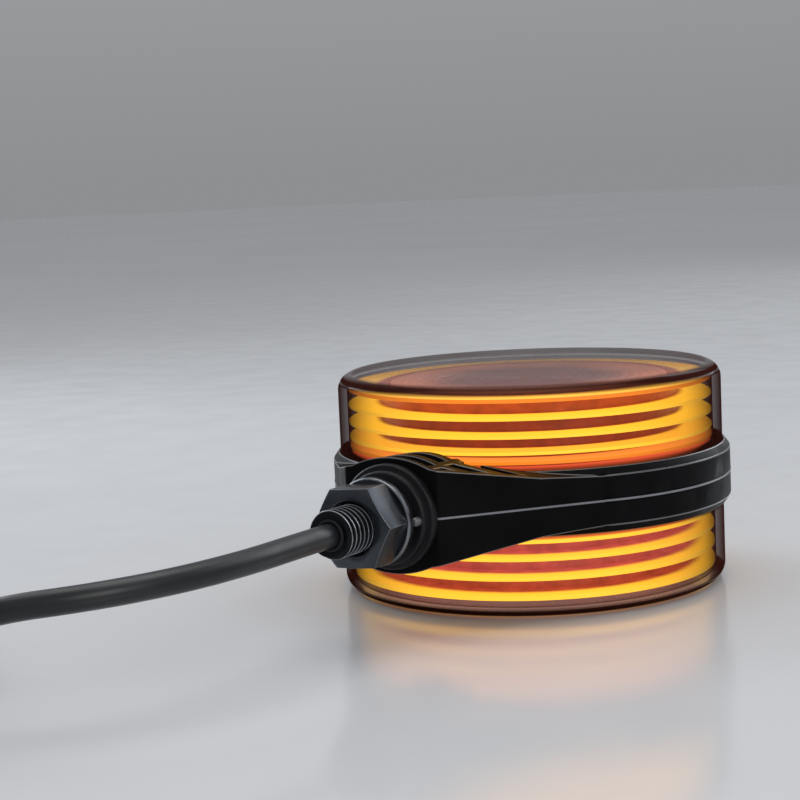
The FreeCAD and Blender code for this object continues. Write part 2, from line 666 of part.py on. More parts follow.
def main():
    os.makedirs("parts", exist_ok=True)
    save_pair("housing", housing_half())
    save("parting_seal", parting_seal())
    save_pair("lens", lens_half())
    save_pair("lens_seal", disc(LENS_R - 0.1, GROOVE_FLOOR, LENS_FOOT, GROOVE_R + 0.1))
    save_pair("light_guide", guide_half())
    save_pair("diffuser_drum", drum_half())
    save_pair("led_board", board_half())
    save_pair("leds", leds_half())
    save_pair("thermal_pad", pad_half())
    save("heat_spreader", spreader())
    save("board_screws", board_screws())
    save("stud", stud())
    save("seat_gasket", seat_gasket())
    save("locating_pin", locating_pin())
    save("flat_washer", washer())
    save("mounting_nut", nut())
    save("cable_grommet", grommet())
    save("cable_sheath_inner", sheath_inside())
    save("driver_board", driver_board())
    save("driver_components", driver_components())
    supply = core_wires(DRIVER[1], SHEATH_END, SUPPLY_CORES)
    save("supply_cores", Part.makeCompound(supply))
    leads = core_wires(LEADS_START, DRIVER[0], BOARD_LEADS)
    save("board_leads", Part.makeCompound(leads))
    save("cable_lead", cable_tube(LEAD_ROUTE, "lead"))
    save("cable_coil", cable_coil())
    save("cable_tail", cable_tube(TAIL_ROUTE, "tail"))
    save("coil_tie", coil_tie())
    save("plug_boot", plug_boot())
    save("plug_body", plug_body())
    save("plug_latch", plug_latch())
    save("plug_contacts", plug_contacts())
    save("plug_seal", plug_seal())


main()
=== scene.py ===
# %% [markdown]
# This lesson finishes an amber LED marker lamp: a black ring with a ribbed neck, a smoked
# lens on each side, a threaded stud with its nut, and a cable. The measured model is loaded
# first as a frame. The pieces made here take their places from that frame, so they fit
# without being moved by eye, and they keep its size in metres.

# %% Load the frame
import math

import bpy
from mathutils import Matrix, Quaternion, Vector


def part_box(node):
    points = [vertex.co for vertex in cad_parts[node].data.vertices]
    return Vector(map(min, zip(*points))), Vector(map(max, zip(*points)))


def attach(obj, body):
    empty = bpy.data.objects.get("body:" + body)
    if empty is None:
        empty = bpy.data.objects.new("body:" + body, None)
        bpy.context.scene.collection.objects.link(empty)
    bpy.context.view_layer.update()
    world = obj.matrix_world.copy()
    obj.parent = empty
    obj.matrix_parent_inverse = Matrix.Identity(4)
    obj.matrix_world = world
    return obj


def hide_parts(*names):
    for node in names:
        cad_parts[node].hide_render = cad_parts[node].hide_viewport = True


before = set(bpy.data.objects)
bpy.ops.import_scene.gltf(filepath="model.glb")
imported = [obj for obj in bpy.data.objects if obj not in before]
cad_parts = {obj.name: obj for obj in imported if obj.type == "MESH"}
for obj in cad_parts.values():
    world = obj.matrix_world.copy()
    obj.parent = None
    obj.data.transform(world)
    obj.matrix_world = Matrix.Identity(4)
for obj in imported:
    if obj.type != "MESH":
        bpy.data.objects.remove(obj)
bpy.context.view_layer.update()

MM = 0.001

# %% [markdown]
# The main sizes are read from the loaded nodes instead of being typed again. The parting
# plane is halfway up, and the stud's axis runs along -Y in that plane. Keeping these few
# numbers in one cell makes the later cells short.

# %% Read the main sizes
seal_low, seal_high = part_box("parting_seal")
MID = (seal_low.z + seal_high.z) / 2
LENS_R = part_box("lens_upper")[1].x
FACE_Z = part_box("lens_upper")[1].z
GUIDE_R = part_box("light_guide_upper")[1].x
DRUM_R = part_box("diffuser_drum_upper")[1].x
print("lens radius %.1f mm, face at %.1f mm" % (LENS_R / MM, FACE_Z / MM))

# %% [markdown]
# The camera stands low in front of the lamp, to the right of the stud, so that the nut and
# thread come towards it. A long lens keeps the round shapes calm. The small roll is the way
# a hand-held camera tips, and it is applied about the camera's own axis after it is aimed.

# %% Camera
CAMERA_PLACE = Vector((260.06, -471.37, 114.14)) * MM
CAMERA_HEADING = math.radians(32.635)
CAMERA_TILT = math.radians(-6.728)
CAMERA_ROLL = math.radians(-2.559)
CAMERA_LENS = 88.99
CAMERA_SENSOR = 36.0


def add_camera():
    look = Vector((-math.sin(CAMERA_HEADING) * math.cos(CAMERA_TILT),
                   math.cos(CAMERA_HEADING) * math.cos(CAMERA_TILT), math.sin(CAMERA_TILT)))
    data = bpy.data.cameras.new("camera")
    data.lens = CAMERA_LENS
    data.sensor_width = CAMERA_SENSOR
    camera = bpy.data.objects.new("camera", data)
    bpy.context.scene.collection.objects.link(camera)
    camera.location = CAMERA_PLACE
    camera.rotation_mode = "QUATERNION"
    camera.rotation_quaternion = look.to_track_quat("-Z", "Y") @ Quaternion((0, 0, 1), CAMERA_ROLL)
    bpy.context.scene.camera = camera
    return camera


camera = add_camera()
camera_reach = (camera.location - Vector((0, 0, MID))).length
print("camera stands %.0f mm from the middle of the ring" % (camera_reach / MM))

# %% [markdown]
# The cable is one length of round lead, 1.3 m from the stud to its plug. The points of its
# first stretch are listed one by one: it leaves the stud straight, bends to the left, and comes
# down to the table. The rest is wound up, three turns side by side and two layers high, and
# a loop writes those turns as more points of the same line.

# %% Cable: its route
CABLE_D = 5.9 * MM
LEAD_ROUTE = [
    (0.0, -97.6, 29.4), (0.0, -112.0, 29.4), (-0.6, -131.0, 29.1), (-4.5, -151.0, 28.8),
    (-13.5, -168.0, 28.2), (-28.5, -179.5, 26.8), (-42.0, -186.0, 22.0), (-54.5, -192.3, 14.8),
    (-66.5, -198.6, 7.4), (-79.6, -203.8, 3.9), (-92.95, -208.09, 3.7),
]
TAIL_ROUTE = [
    (-142.09, -183.05, 9.7), (-146.0, -169.5, 9.6), (-146.6, -154.5, 8.2), (-144.0, -140.5, 6.2),
]
COIL_X, COIL_Y = -105.0, -171.0
COIL_START = -72.0
COIL_LOW, COIL_HIGH = 3.7, 9.7
POINTS_PER_TURN = 16
# (turns since the start, radius, height): the line eases from one row to the next
COIL_STEPS = [
    (0.0, 39, COIL_LOW), (0.75, 39, COIL_LOW), (1.0, 33, COIL_LOW), (1.75, 33, COIL_LOW),
    (2.0, 27, COIL_LOW), (2.5, 27, COIL_LOW), (2.75, 27, COIL_HIGH), (3.25, 27, COIL_HIGH),
    (3.5, 33, COIL_HIGH), (4.25, 33, COIL_HIGH), (4.5, 39, COIL_HIGH), (5.25, 39, COIL_HIGH),
]


def coil_place(turns):
    """Radius and height of the line after a number of turns."""
    for (t0, r0, z0), (t1, r1, z1) in zip(COIL_STEPS, COIL_STEPS[1:]):
        if turns <= t1:
            share = (turns - t0) / (t1 - t0)
            ease = share * share * (3 - 2 * share)
            return r0 + (r1 - r0) * ease, z0 + (z1 - z0) * ease
    return COIL_STEPS[-1][1:]


def coil_points():
    """Control points of the turns; a control point stands a little outside its curve."""
    outside = 1 / (0.75 + 0.25 * math.cos(2 * math.pi / POINTS_PER_TURN))
    count = int(COIL_STEPS[-1][0] * POINTS_PER_TURN)
    points = []
    for index in range(1, count):
        turns = index / POINTS_PER_TURN
        radius, height = coil_place(turns)
        angle = math.radians(COIL_START - 360 * turns)
        points.append((COIL_X + radius * outside * math.cos(angle),
                       COIL_Y + radius * outside * math.sin(angle), height))
    return points


cable_route = LEAD_ROUTE + coil_points() + TAIL_ROUTE
print("cable route has", len(cable_route), "points")

# %% [markdown]
# The points could be joined by a mesh, but a NURBS curve with a round bevel is what a cable
# is: one smooth line and one thickness. The bevel is one metre deep and each point's radius
# scales it down, so the thickness is set in one place.

# %% Cable: the curve
def add_cable(points, diameter):
    curve = bpy.data.curves.new("cable", "CURVE")
    curve.dimensions = "3D"
    spline = curve.splines.new("NURBS")
    spline.points.add(len(points) - 1)
    for point, place in zip(spline.points, points):
        point.co = (*(Vector(place) * MM), 1.0)
        point.radius = diameter / 2
    spline.order_u = 3
    spline.use_endpoint_u = True
    spline.resolution_u = 8
    curve.bevel_depth = 1.0
    curve.bevel_resolution = 6
    curve.use_fill_caps = True
    cable = bpy.data.objects.new("cable", curve)
    bpy.context.scene.collection.objects.link(cable)
    return cable


cable = add_cable(cable_route, CABLE_D)
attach(cable, "lamp")
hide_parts("cable_lead", "cable_coil", "cable_tail")
print("cable is %.1f mm thick" % (CABLE_D / MM))

# %% [markdown]
# A lamp that glows by itself needs a calm room. The floor is one wide pale disc with a slight
# gloss, so that the amber light lies on it as a soft reflection. A disc has no corner that
# could show in the distance, and its rim is far behind the edge of the view.

# %% Floor
FLOOR_RADIUS = 6.0


def deselect_all():
    if bpy.context.object and bpy.context.object.mode != "OBJECT":
        bpy.ops.object.mode_set(mode="OBJECT")
    bpy.ops.object.select_all(action="DESELECT")


def add_floor():
    deselect_all()
    bpy.ops.mesh.primitive_circle_add(vertices=96, radius=FLOOR_RADIUS, fill_type="NGON")
    floor = bpy.context.object
    floor.name = floor.data.name = "studio_floor"
    return floor


floor = add_floor()
print("floor is %.0f m across" % (2 * FLOOR_RADIUS))

# %% [markdown]
# Soft light comes from four panels. A large one overhead draws the long highlights along the
# neck and the cable. A small one from the right fills the near side. A wide cool one behind
# the lamp and a narrow cool one on the left edge the nut, the washer and the rims. The room
# is a pale grey that grows lighter upwards.

# %% Lights
PANELS = [
    # name, place, aim, size in metres, power in watts, colour
    ("overhead_panel", (-0.05, 0.15, 1.10), (0.0, -0.02, 0.03), (1.0, 0.8), 6.0, (1.0, 0.98, 0.95)),
    ("side_panel", (0.85, -0.55, 0.45), (0.0, -0.05, 0.03), (0.5, 0.5), 2.6, (1.0, 0.97, 0.93)),
    ("back_panel", (0.45, 1.15, 0.62), (0.0, -0.05, 0.03), (1.2, 0.8), 8.0, (0.92, 0.96, 1.0)),
    ("edge_panel", (-0.70, 0.10, 0.35), (0.0, -0.08, 0.03), (0.3, 0.6), 2.4, (0.86, 0.93, 1.0)),
]
ROOM_HORIZON = (0.270, 0.275, 0.285, 1.0)
ROOM_ABOVE = (0.43, 0.44, 0.46, 1.0)
ROOM_STRENGTH = 1.0
ROOM_RISE = 0.35


def add_panel(name, place, aim, size, power, colour):
    data = bpy.data.lights.new(name, "AREA")
    data.shape = "RECTANGLE"
    data.size, data.size_y = size
    data.energy = power
    data.color = colour
    panel = bpy.data.objects.new(name, data)
    bpy.context.scene.collection.objects.link(panel)
    panel.location = place
    panel.rotation_mode = "QUATERNION"
    panel.rotation_quaternion = (Vector(aim) - Vector(place)).to_track_quat("-Z", "Y")
    return panel


def light_room():
    world = bpy.data.worlds.new("pale_room")
    bpy.context.scene.world = world
    world.use_nodes = True
    background = world.node_tree.nodes["Background"]
    background.inputs["Strength"].default_value = ROOM_STRENGTH
    tree = world.node_tree
    direction = tree.nodes.new("ShaderNodeTexCoord")
    parts = tree.nodes.new("ShaderNodeSeparateXYZ")
    rise = tree.nodes.new("ShaderNodeValToRGB")
    rise.color_ramp.elements[0].color = ROOM_HORIZON
    rise.color_ramp.elements[1].color = ROOM_ABOVE
    rise.color_ramp.elements[1].position = ROOM_RISE
    tree.links.new(direction.outputs["Generated"], parts.inputs[0])
    tree.links.new(parts.outputs[2], rise.inputs[0])
    tree.links.new(rise.outputs[0], background.inputs["Color"])


for panel in PANELS:
    add_panel(*panel)
light_room()
bpy.context.scene.view_settings.view_transform = "Standard"
print("lit by", ", ".join(panel[0] for panel in PANELS))

# %% [markdown]
# Most finishes here are one solid stuff with a fine grain: moulded plastic, rubber, plated
# steel. Painting a flat colour would look like a toy, so each gets three small variations
# from noise in object space: in colour, in roughness and in height. One helper builds the
# nodes, and each finish says how strong and how fine the three are.

# %% A helper for grained finishes
def new_material(name):
    material = bpy.data.materials.new(name)
    material.use_nodes = True
    tree = material.node_tree
    shader = tree.nodes["Principled BSDF"]
    return material, tree, shader


def place_node(tree):
    """Object coordinates: the piece's own place in the lamp, in metres."""
    return tree.nodes.new("ShaderNodeTexCoord").outputs["Object"]


def noise(tree, place, scale, detail=3.0):
    texture = tree.nodes.new("ShaderNodeTexNoise")
    texture.inputs["Scale"].default_value = scale
    texture.inputs["Detail"].default_value = detail
    tree.links.new(place, texture.inputs["Vector"])
    return texture.outputs["Fac"]


NOISE_LOW, NOISE_HIGH = 0.35, 0.65


def spread(tree, value, low, high):
    """Stretch the middle of a noise over a range of numbers."""
    node = tree.nodes.new("ShaderNodeMapRange")
    node.inputs["From Min"].default_value = NOISE_LOW
    node.inputs["From Max"].default_value = NOISE_HIGH
    node.inputs["To Min"].default_value = low
    node.inputs["To Max"].default_value = high
    tree.links.new(value, node.inputs["Value"])
    return node.outputs["Result"]


def blend_colours(tree, factor, first, second):
    """Mix two colours, each a socket or three numbers, by a factor that is a socket."""
    node = tree.nodes.new("ShaderNodeMix")
    node.data_type = "RGBA"
    sockets = [socket for socket in node.inputs if socket.type == "RGBA"]
    for socket, colour in zip(sockets, (first, second)):
        if hasattr(colour, "node"):
            tree.links.new(colour, socket)
        else:
            socket.default_value = (*colour, 1.0)
    tree.links.new(factor, node.inputs["Factor"])
    return next(socket for socket in node.outputs if socket.type == "RGBA")


def add_bump(tree, shader, height, depth):
    bump = tree.nodes.new("ShaderNodeBump")
    bump.inputs["Distance"].default_value = depth * MM
    bump.inputs["Strength"].default_value = 1.0
    tree.links.new(height, bump.inputs["Height"])
    tree.links.new(bump.outputs["Normal"], shader.inputs["Normal"])


GLOSS_PATCH = 2.3    # patches of gloss are this many times finer than patches of colour


def grained(name, dark, light, rough, grain, depth, metal=0.0, patch=60.0, gloss=0.5):
    """A finish with patches of colour, patches of gloss and a fine grain (grain in grains a metre)."""
    material, tree, shader = new_material(name)
    place = place_node(tree)
    patches = spread(tree, noise(tree, place, patch), 0.0, 1.0)
    tree.links.new(blend_colours(tree, patches, dark, light), shader.inputs["Base Color"])
    smudges = spread(tree, noise(tree, place, patch * GLOSS_PATCH), rough[0], rough[1])
    tree.links.new(smudges, shader.inputs["Roughness"])
    shader.inputs["Metallic"].default_value = metal
    shader.inputs["Specular IOR Level"].default_value = gloss
    add_bump(tree, shader, noise(tree, place, grain, 4.0), depth)
    return material


print("grain helper ready")

# %% [markdown]
# The housing is black moulded plastic. New moulded plastic is not evenly matt: a spark-eroded
# mould leaves a fine grain, and the flat faces are a little glossier where the mould was
# polished. The rubber parts get the same helper with a duller skin, and the plated steel gets
# metal under a darker coat.

# %% Finishes of the solid parts
FINISH_TABLE = [
    # name, dark colour, light colour, lowest and highest roughness,
    # grains a metre, grain depth in mm, options
    ("black_housing", (0.0028, 0.0028, 0.0032), (0.0055, 0.0055, 0.0065), (0.40, 0.54),
     2600, 0.012, {"gloss": 0.05}),
    # painted highlight: a lighter colour for the rounded edges of the housing, the seat and the pin
    ("polished_edge", (0.060, 0.060, 0.065), (0.100, 0.100, 0.108), (0.24, 0.36),
     2200, 0.006, {"gloss": 0.85}),
    # painted highlight: a lighter metal colour for the rounded edges of the washer and the nut
    ("bright_edge", (0.13, 0.14, 0.155), (0.22, 0.23, 0.25), (0.22, 0.34),
     1500, 0.004, {"metal": 0.9, "patch": 90}),
    ("grey_seal", (0.16, 0.17, 0.19), (0.26, 0.27, 0.29), (0.45, 0.6),
     1800, 0.01, {}),
    ("black_rubber", (0.005, 0.005, 0.006), (0.010, 0.010, 0.012), (0.44, 0.60),
     1900, 0.015, {"gloss": 0.22}),
    ("plated_steel", (0.018, 0.019, 0.022), (0.038, 0.040, 0.046), (0.20, 0.32),
     1500, 0.006, {"metal": 0.85, "patch": 90}),
    ("nut_plating", (0.036, 0.041, 0.048), (0.068, 0.077, 0.089), (0.26, 0.38),
     1100, 0.010, {"metal": 0.85, "patch": 70}),
    ("cable_sheath", (0.006, 0.007, 0.009), (0.012, 0.014, 0.017), (0.32, 0.42),
     1400, 0.010, {"gloss": 0.42}),
    ("plug_plastic", (0.014, 0.014, 0.015), (0.028, 0.028, 0.030), (0.42, 0.58),
     2200, 0.014, {}),
    ("orange_silicone", (0.60, 0.14, 0.03), (0.80, 0.24, 0.06), (0.38, 0.52),
     1500, 0.01, {}),
    ("tinned_contact", (0.60, 0.56, 0.44), (0.78, 0.74, 0.62), (0.20, 0.34),
     1300, 0.004, {"metal": 1.0}),
    ("zinc_screw", (0.46, 0.46, 0.48), (0.64, 0.64, 0.66), (0.26, 0.42),
     1300, 0.006, {"metal": 1.0}),
    ("thermal_silicone", (0.36, 0.38, 0.42), (0.50, 0.52, 0.56), (0.6, 0.75),
     1600, 0.02, {}),
    ("core_insulation", (0.16, 0.055, 0.02), (0.26, 0.10, 0.04), (0.35, 0.5),
     1500, 0.006, {}),
]
FINISHES = {}
for name, *numbers, options in FINISH_TABLE:
    FINISHES[name] = grained(name, *numbers, **options)
print(len(FINISHES), "finishes")


def dress(piece, material):
    """Give a piece or a loaded node one material all over."""
    piece.data.materials.clear()
    piece.data.materials.append(material)


dress(cable, FINISHES["cable_sheath"])

# %% [markdown]
# Some finishes depend on where a point is on the lamp: how far from the lens axis, and how
# far above or below the parting plane. A small group of math nodes measures both from object
# space. That stays fixed to the lamp when the view changes.

# %% Helpers that measure a place on the lamp
def math_node(tree, operation, first, second=0.0, clamp=False):
    node = tree.nodes.new("ShaderNodeMath")
    node.operation = operation
    node.use_clamp = clamp
    for socket, value in ((node.inputs[0], first), (node.inputs[1], second)):
        if hasattr(value, "node"):
            tree.links.new(value, socket)
        else:
            socket.default_value = value
    return node.outputs[0]


def split(tree, place):
    node = tree.nodes.new("ShaderNodeSeparateXYZ")
    tree.links.new(place, node.inputs[0])
    return node.outputs[0], node.outputs[1], node.outputs[2]


def distance(tree, first, second):
    """Distance from an axis, from the two coordinates across it."""
    squares = [math_node(tree, "MULTIPLY", part, part) for part in (first, second)]
    return math_node(tree, "SQRT", math_node(tree, "ADD", *squares))


def axis_distance(tree, place):
    """Distance from the lens axis."""
    x, y, _ = split(tree, place)
    return distance(tree, x, y)


def height_from_parting(tree, place):
    up = split(tree, place)[2]
    return math_node(tree, "ABSOLUTE", math_node(tree, "SUBTRACT", up, MID))


def step_up(tree, value, start, end):
    """0 below start, 1 above end (both in millimetres), with a smooth rise between."""
    node = tree.nodes.new("ShaderNodeMapRange")
    node.interpolation_type = "SMOOTHSTEP"
    node.inputs["From Min"].default_value = start * MM
    node.inputs["From Max"].default_value = end * MM
    tree.links.new(value, node.inputs["Value"])
    return node.outputs["Result"]


def waves(tree, value, pitch):
    """A wave that repeats every so many millimetres of a length."""
    return math_node(tree, "SINE", math_node(tree, "MULTIPLY", value, 2 * math.pi / (pitch * MM)))


print("place helpers ready")

# %% [markdown]
# The floor's finish is a pale satin board. A slight unevenness in its gloss keeps the lamp's
# reflection from looking like a mirror, and the reflection softens as it gets longer.

# %% Finish of the floor
FLOOR_DARK = (0.53, 0.54, 0.56)
FLOOR_LIGHT = (0.58, 0.59, 0.61)


def floor_finish():
    material, tree, shader = new_material("pale_satin_board")
    place = place_node(tree)
    tone = spread(tree, noise(tree, place, 3.0), 0.0, 1.0)
    tree.links.new(blend_colours(tree, tone, FLOOR_DARK, FLOOR_LIGHT), shader.inputs["Base Color"])
    tree.links.new(spread(tree, noise(tree, place, 40.0), 0.13, 0.18), shader.inputs["Roughness"])
    add_bump(tree, shader, noise(tree, place, 900.0, 4.0), 0.004)
    return material


dress(floor, floor_finish())
print("floor dressed")

# %% [markdown]
# The light guide is a clear sleeve with rings round it, lit from below by the diodes. Light
# leaves it mostly at the rings' rims, so those are the bright yellow lines. The flat faces
# glow less towards the sleeve, and the sleeve itself is red, like the drum behind it. Clear
# plastic in many layers would be slow and noisy, and the glow hides what is behind it anyway,
# so each part of the guide is given the brightness that it shows.

# %% Finish of the light guides
LINE_YELLOW = (1.0, 0.52, 0.035)
BAND_ORANGE = (1.0, 0.26, 0.018)
WASH_AMBER = (1.0, 0.49, 0.028)
WASH_PINK = (1.0, 0.12, 0.045)
LINE_GLOW = 1.6
BAND_GLOW = 1.15
WASH_GLOW = 1.55
RIM_RADII = (48.7, 49.15)
LINE_BLUR = 0.2
WASH_HEIGHTS = (7.5, 15.0)
SLEEVE_HEIGHTS = (18.0, 24.0)
STREAK_SCALE = 260.0


def lit(colour, glow):
    """A colour made brighter by a factor."""
    return tuple(channel * glow for channel in colour)


def guide_finish(name, dim_below, dim_above, sleeve_low, sleeve_high, flat_start, flat_end):
    """Yellow between two heights (mm from the parting plane), orange outside them.

    The sleeve's colour goes from low to high, and the flats light up between two radii."""
    material, tree, shader = new_material(name)
    place = place_node(tree)
    radius = axis_distance(tree, place)
    height = height_from_parting(tree, place)
    rim = step_up(tree, radius, *RIM_RADII)
    fin = step_up(tree, radius, flat_start, flat_end)
    past_low = step_up(tree, height, dim_below - LINE_BLUR, dim_below + LINE_BLUR)
    past_high = step_up(tree, height, dim_above - LINE_BLUR, dim_above + LINE_BLUR)
    bright = math_node(tree, "SUBTRACT", past_low, past_high, clamp=True)
    line = blend_colours(tree, bright, lit(BAND_ORANGE, BAND_GLOW), lit(LINE_YELLOW, LINE_GLOW))
    climb = step_up(tree, height, *WASH_HEIGHTS)
    wash = blend_colours(tree, climb, WASH_PINK, lit(WASH_AMBER, WASH_GLOW))
    streaks = spread(tree, noise(tree, place, STREAK_SCALE), 0.8, 1.2)
    sleeve = blend_colours(tree, step_up(tree, height, *SLEEVE_HEIGHTS), sleeve_low, sleeve_high)
    flat = blend_colours(tree, fin, sleeve, wash)
    evened = math_node(tree, "MULTIPLY", fin, math_node(tree, "SUBTRACT", 1.0, streaks))
    mottle = math_node(tree, "ADD", streaks, evened)
    tree.links.new(blend_colours(tree, rim, flat, line), shader.inputs["Emission Color"])
    tree.links.new(mottle, shader.inputs["Emission Strength"])
    shader.inputs["Base Color"].default_value = (0.06, 0.012, 0.003, 1.0)
    shader.inputs["Roughness"].default_value = 0.35
    return material


UPPER_GUIDE = guide_finish("upper_guide_glow", dim_below=11.3, dim_above=23.5,
                           sleeve_low=(0.23, 0.020, 0.010), sleeve_high=(0.50, 0.060, 0.010),
                           flat_start=40.2, flat_end=42.5)
LOWER_GUIDE = guide_finish("lower_guide_glow", dim_below=5.0, dim_above=28.0,
                           sleeve_low=(0.50, 0.065, 0.050), sleeve_high=(0.42, 0.050, 0.020),
                           flat_start=43.0, flat_end=46.5)
print("guide glow ready")

# %% [markdown]
# The drum inside the guide is a dark red diffuser. It is what shows between the bright lines
# at the front of the lamp. Its face is pressed with fine rings, and a little light reaches
# the outer ones, so the glow rises towards its rim.

# %% Finish of the diffuser drum
DRUM_GLOW_RADII = (18.0, 37.4)
DRUM_FACE_HEIGHTS = (25.0, 25.6)
PRESSED_PITCH = 1.6


def drum_finish():
    material, tree, shader = new_material("dark_red_diffuser")
    place = place_node(tree)
    radius = axis_distance(tree, place)
    rim = step_up(tree, radius, *DRUM_GLOW_RADII)
    face = step_up(tree, height_from_parting(tree, place), *DRUM_FACE_HEIGHTS)
    side_glow = (0.20, 0.018, 0.008)
    face_glow = blend_colours(tree, rim, (0.16, 0.040, 0.030), (0.85, 0.24, 0.10))
    glow = blend_colours(tree, face, side_glow, face_glow)
    mottle = spread(tree, noise(tree, place, 70.0), 0.85, 1.15)
    tree.links.new(glow, shader.inputs["Emission Color"])
    tree.links.new(mottle, shader.inputs["Emission Strength"])
    shader.inputs["Base Color"].default_value = (0.085, 0.018, 0.010, 1.0)
    shader.inputs["Roughness"].default_value = 0.42
    rings = waves(tree, radius, PRESSED_PITCH)
    add_bump(tree, shader, rings, 0.05)
    return material


DRUM_RED = drum_finish()
print("drum finish ready")

# %% [markdown]
# The lens is clear plastic with a smoke tint, 2.4 mm thick. It darkens what is behind it, and
# it is nearly closed where the wall is seen edge-on. Real refraction would be costly and
# noisy, so the lens is a dark film whose opacity grows towards a glancing angle, by a power of
# Layer Weight's Facing. The wall seen edge-on is a long way through smoked plastic, so it
# closes sooner than the face. The rounded corner is darker than both. The face has a little
# gloss and the wall has none, because a pale reflection would hide the wall's dark edges.

# %% Finish of the lenses
WALL_ALPHA = 0.07
CORNER_ALPHA = 0.82
FACE_ALPHA = 0.08
EDGE_POWER = 1.8
FACE_POWER = 9.0
WALL_GLOSS = 0.0
FACE_GLOSS = 0.22
FOOT_ALPHA = 0.5
CORNER_HEIGHTS = (26.4, 27.6)
CORNER_RADII = (47.0, 50.5)
FACE_HEIGHTS = (26.6, 27.4)
FOOT_HEIGHTS = (8.2, 9.4)
MOULDED_PITCH = 2.2


def lens_finish():
    material, tree, shader = new_material("smoked_lens")
    place = place_node(tree)
    radius = axis_distance(tree, place)
    height = height_from_parting(tree, place)
    high = step_up(tree, height, *CORNER_HEIGHTS)
    corner = math_node(tree, "MULTIPLY", high, step_up(tree, radius, *CORNER_RADII))
    face = math_node(tree, "SUBTRACT", step_up(tree, height, *FACE_HEIGHTS), corner, clamp=True)
    foot = math_node(tree, "SUBTRACT", 1.0, step_up(tree, height, *FOOT_HEIGHTS))
    tint = math_node(tree, "ADD", WALL_ALPHA, math_node(tree, "MULTIPLY", corner, CORNER_ALPHA - WALL_ALPHA))
    tint = math_node(tree, "ADD", tint, math_node(tree, "MULTIPLY", face, FACE_ALPHA - WALL_ALPHA))
    tint = math_node(tree, "ADD", tint, math_node(tree, "MULTIPLY", foot, FOOT_ALPHA))
    facing = tree.nodes.new("ShaderNodeLayerWeight").outputs["Facing"]
    power = math_node(tree, "ADD", EDGE_POWER, math_node(tree, "MULTIPLY", face, FACE_POWER - EDGE_POWER))
    alpha = math_node(tree, "ADD", tint, math_node(tree, "POWER", facing, power), clamp=True)
    tree.links.new(alpha, shader.inputs["Alpha"])
    tone = spread(tree, noise(tree, place, 25.0), 0.0, 1.0)
    smoke = blend_colours(tree, tone, (0.030, 0.008, 0.006), (0.042, 0.012, 0.009))
    tree.links.new(smoke, shader.inputs["Base Color"])
    tree.links.new(spread(tree, noise(tree, place, 60.0), 0.05, 0.10), shader.inputs["Roughness"])
    gloss = math_node(tree, "ADD", WALL_GLOSS, math_node(tree, "MULTIPLY", face, FACE_GLOSS - WALL_GLOSS))
    tree.links.new(gloss, shader.inputs["Specular IOR Level"])
    rings = waves(tree, radius, MOULDED_PITCH)
    add_bump(tree, shader, math_node(tree, "MULTIPLY", rings, face), 0.02)
    return material


SMOKED_LENS = lens_finish()
print("lens finish ready")

# %% [markdown]
# Round parts are turned: an outline of a few points is spun about an axis. The outline starts
# as a small plane merged to one point, and each next point is extruded from the last. Drawing
# the outline is how a lathe part is dimensioned, so a change of size is one number.

# %% A helper that turns an outline
SAME_POINT = 0.002    # points nearer than this, in mm, are merged


def turned_piece(name, outline, closed=True, steps=180, about_stud=False):
    """Spin (radius, height) points in millimetres. About the stud, height is along its axis."""
    deselect_all()
    bpy.ops.mesh.primitive_plane_add(size=MM)
    piece = bpy.context.object
    piece.name = piece.data.name = name
    bpy.ops.object.mode_set(mode="EDIT")
    bpy.ops.mesh.select_all(action="SELECT")
    bpy.ops.mesh.merge(type="CENTER")
    points = list(outline) + ([outline[0]] if closed else [])
    bpy.ops.transform.translate(value=(points[0][0] * MM, 0, points[0][1] * MM))
    for (r0, h0), (r1, h1) in zip(points, points[1:]):
        move = ((r1 - r0) * MM, 0, (h1 - h0) * MM)
        bpy.ops.mesh.extrude_vertices_move(TRANSFORM_OT_translate={"value": move})
    bpy.ops.mesh.select_all(action="SELECT")
    bpy.ops.mesh.remove_doubles(threshold=SAME_POINT * MM)
    bpy.ops.mesh.spin(steps=steps, angle=2 * math.pi, center=(0, 0, 0), axis=(0, 0, 1))
    bpy.ops.mesh.select_all(action="SELECT")
    bpy.ops.mesh.remove_doubles(threshold=SAME_POINT * MM)
    bpy.ops.mesh.normals_make_consistent(inside=False)
    bpy.ops.object.mode_set(mode="OBJECT")
    if about_stud:
        piece.rotation_euler = (math.pi / 2, 0, 0)
        piece.location = (0, 0, MID)
    bpy.ops.object.transform_apply(location=True, rotation=True, scale=True)
    return piece


def soften(piece, width, segments=2, sharp=30, edge=None, weighted=False):
    """Round the edges that are sharper than an angle, then shade smoothly up to it.

    An edge finish goes on the new faces, in the piece's second material slot. A weighted
    piece has only the edges rounded that were given a bevel weight."""
    deselect_all()
    piece.select_set(True)
    bpy.context.view_layer.objects.active = piece
    bevel = piece.modifiers.new("rounded_edges", "BEVEL")
    bevel.width = width * MM
    bevel.segments = segments
    bevel.limit_method = "WEIGHT" if weighted else "ANGLE"
    bevel.angle_limit = math.radians(sharp)
    bevel.use_clamp_overlap = not weighted
    if edge:
        piece.data.materials.clear()
        piece.data.materials.append(edge)
        piece.data.materials.append(edge)
        bevel.material = 1
    bpy.ops.object.modifier_apply(modifier=bevel.name)
    bpy.ops.object.shade_smooth_by_angle(angle=math.radians(sharp))


def settle(piece, material, body, slot, *nodes):
    """Say what a finished piece is made of, what it rides on and which nodes it stands for."""
    if len(piece.data.materials) == 2:
        piece.data.materials[0] = material
    else:
        dress(piece, material)
    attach(piece, body)
    if nodes:
        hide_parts(*nodes)
    print("%-20s %6d faces" % (piece.name, len(piece.data.polygons)))
    return piece


